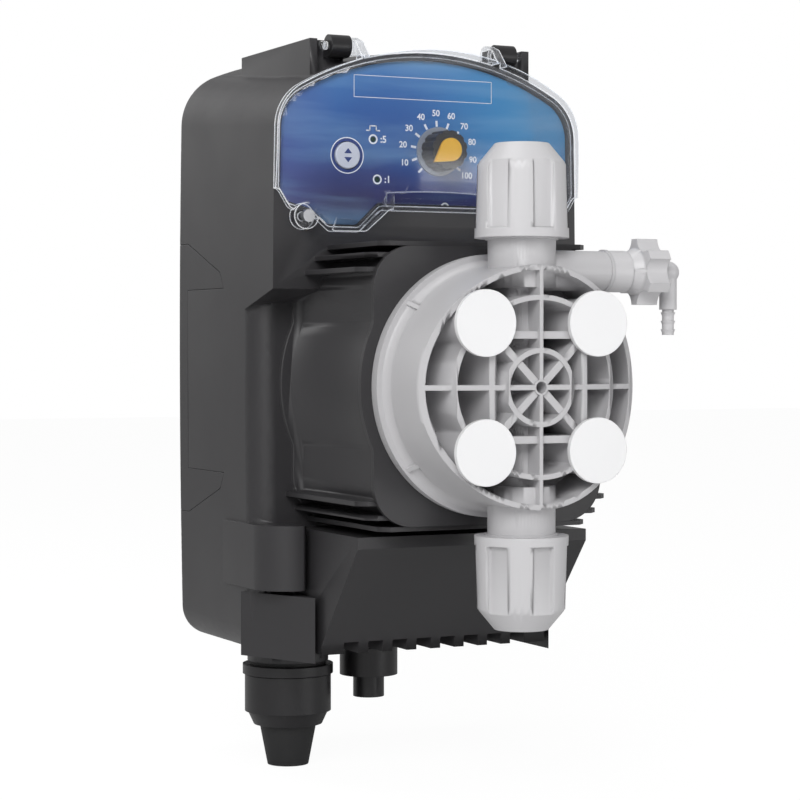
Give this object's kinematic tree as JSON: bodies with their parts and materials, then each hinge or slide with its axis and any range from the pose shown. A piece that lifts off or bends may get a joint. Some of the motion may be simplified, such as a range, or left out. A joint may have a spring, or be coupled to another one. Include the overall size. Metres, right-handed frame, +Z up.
{
  "type": "diaphragm metering pump",
  "caption": "Solenoid-driven diaphragm metering pump on a wall bracket, with ribbed head, pipe nuts, bleed valve, dial and clear hinged cover.",
  "frame": {"origin": "on the wall face, midway between the bracket's four bolt holes and level with the pump head's axis", "axes": "+Z up, -Y away from the wall towards the pump head, +X to the right seen from the front"},
  "size_m": [0.1274, 0.1903, 0.2755],
  "materials": {
    "grey_plastic": "satin",
    "black_plastic": "satin",
    "white_plastic": "satin",
    "clear_plastic": "polished",
    "blue_label": "gloss",
    "grey_scale": "satin",
    "yellow_plastic": "gloss",
    "lamp_green": "gloss",
    "steel": "brushed",
    "brass": "satin",
    "copper": "satin",
    "painted_can": "satin",
    "rubber": "matte",
    "board_green": "satin",
    "ceramic_ball": "polished"
  },
  "bodies": {
    "pump": {"housing": "grey_plastic", "wall_bracket": "grey_plastic", "back_cover": "grey_plastic", "back_cover_screws": "steel", "head_plate": "grey_plastic", "pump_head": "black_plastic", "head_screws": "steel", "screw_caps": "black_plastic", "diaphragm": "white_plastic", "solenoid_can": "painted_can", "fixed_core": "steel", "coil_bobbin": "black_plastic", "coil_winding": "copper", "guide_bush": "brass", "bleed_collar": "black_plastic", "panel_label": "blue_label", "dial_ring": "grey_scale", "indicator_lamps": "lamp_green", "control_board": "board_green", "board_screws": "steel", "potentiometer": "black_plastic", "tact_switch": "black_plastic", "capacitor": "black_plastic", "transformer": "copper", "hinge_barrels": "grey_plastic", "gland_seal": "rubber", "gland_stem": "black_plastic", "connector_stem": "black_plastic", "delivery_seal": "rubber", "delivery_seat": "white_plastic", "delivery_valve": "black_plastic", "delivery_nipple": "black_plastic", "delivery_ferrule": "white_plastic", "suction_seal": "rubber", "suction_seat": "white_plastic", "suction_valve": "black_plastic", "suction_nipple": "black_plastic", "suction_ferrule": "white_plastic"},
    "cover": {"clear_cover": "clear_plastic", "cover_screws": "steel"},
    "dial": {"dial_knob": "black_plastic", "dial_pointer": "yellow_plastic", "dial_shaft": "steel"},
    "button": {"select_button": "white_plastic"},
    "armature": {"plunger": "steel", "plunger_shaft": "steel", "return_spring": "steel"},
    "suction_ball_body": {"suction_ball": "ceramic_ball"},
    "delivery_ball_body": {"delivery_ball": "ceramic_ball"},
    "bleed_turner": {"bleed_knob": "black_plastic"},
    "bleed_outlet": {"bleed_spout": "black_plastic"},
    "delivery_cap": {"delivery_nut": "black_plastic"},
    "suction_cap": {"suction_nut": "black_plastic"},
    "gland_cap": {"gland_nut": "black_plastic", "gland_boot": "rubber"},
    "connector_cap_body": {"connector_cap": "black_plastic"}
  },
  "joints": [
    {"name": "cover_flip", "type": "hinge", "parent": "pump", "child": "cover", "pos_m": [0, -0.097, 0.124], "axis": [-1, 0, 0], "range_deg": [0, 110]},
    {"name": "dial_turn", "type": "hinge", "parent": "pump", "child": "dial", "pos_m": [0.0049, -0.105, 0.0865], "axis": [0, 1, 0], "range_deg": [0, 270]},
    {"name": "select_press", "type": "slide", "parent": "pump", "child": "button", "axis": [0, 1, 0], "range_m": [0, 0.0008], "stiffness_N_per_m": 400},
    {"name": "plunger_stroke", "type": "slide", "parent": "pump", "child": "armature", "axis": [0, -1, 0], "range_m": [0, 0.00125], "stiffness_N_per_m": 2000, "deforming": ["return_spring", "diaphragm"]},
    {"name": "suction_ball_lift", "type": "slide", "parent": "pump", "child": "suction_ball_body", "axis": [0, 0, 1], "range_m": [0, 0.0015]},
    {"name": "delivery_ball_lift", "type": "slide", "parent": "pump", "child": "delivery_ball_body", "axis": [0, 0, 1], "range_m": [0, 0.0015]},
    {"name": "bleed_knob_turn", "type": "hinge", "parent": "pump", "child": "bleed_turner", "pos_m": [0.045, -0.174, 0.0402], "axis": [1, 0, 0], "range_deg": [-180, 180]},
    {"name": "bleed_spout_swivel", "type": "hinge", "parent": "pump", "child": "bleed_outlet", "pos_m": [0.057, -0.174, 0.0402], "axis": [1, 0, 0], "range_deg": [-90, 90]},
    {"name": "delivery_nut_turn", "type": "hinge", "parent": "pump", "child": "delivery_cap", "pos_m": [0, -0.174, 0.067], "axis": [0, 0, 1], "range_deg": [0, 360]},
    {"name": "suction_nut_turn", "type": "hinge", "parent": "pump", "child": "suction_cap", "pos_m": [0, -0.174, -0.067], "axis": [0, 0, 1], "range_deg": [0, 360]},
    {"name": "gland_nut_turn", "type": "hinge", "parent": "pump", "child": "gland_cap", "pos_m": [-0.04, -0.063, -0.117], "axis": [0, 0, 1], "range_deg": [0, 360]},
    {"name": "connector_cap_turn", "type": "hinge", "parent": "pump", "child": "connector_cap_body", "pos_m": [-0.006, -0.063, -0.108], "axis": [0, 0, 1], "range_deg": [0, 360]}
  ]
}
